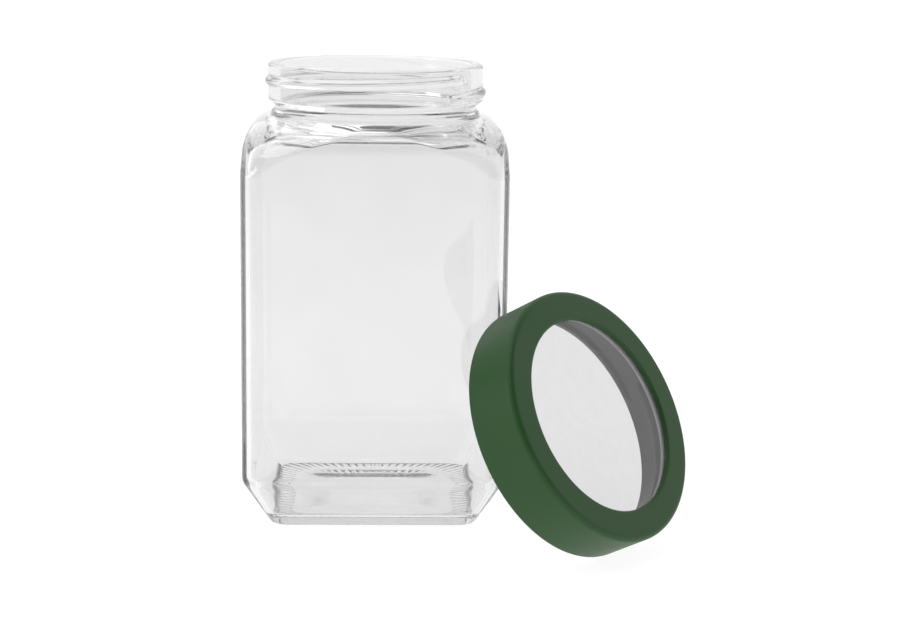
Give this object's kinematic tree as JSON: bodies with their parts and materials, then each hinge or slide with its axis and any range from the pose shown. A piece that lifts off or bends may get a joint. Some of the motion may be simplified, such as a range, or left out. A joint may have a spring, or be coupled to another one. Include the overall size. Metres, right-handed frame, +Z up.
{
  "type": "square glass jar with screw lid",
  "caption": "Square clear glass storage jar with bevelled foot, round threaded neck and a loose green screw lid with a clear window, leaning on one corner.",
  "frame": {"origin": "centre of the jar's base, on the surface it stands on", "axes": "+Z up along the jar's axis, out of the mouth; X and Y are square to the jar's flat walls, and the lid lies towards +X and -Y"},
  "size_m": [0.1976, 0.1859, 0.204],
  "materials": {
    "clear_glass": "clear polished pressed glass",
    "green_paint": "dark green soft satin paint",
    "clear_window": "clear smooth disc",
    "grey_plastic": "satin grey moulded plastic",
    "seal_rubber": "pale grey soft matte washer"
  },
  "bodies": {
    "jar": {"glass_jar": "clear_glass"},
    "washer": {"seal_ring": "seal_rubber"},
    "lid": {"lid_shell": "green_paint", "lid_window": "clear_window", "inner_cap": "grey_plastic"}
  },
  "joints": [
    {"name": "lid_lift", "type": "slide", "parent": "jar", "child": "washer", "axis": [0, 0, 1], "range_m": [0, 0.24]},
    {"name": "lid_turn", "type": "hinge", "parent": "washer", "child": "lid", "pos_m": [0.09356, -0.07765, 0.05812], "axis": [0.6721, -0.5605, 0.4839], "continuous": true}
  ]
}
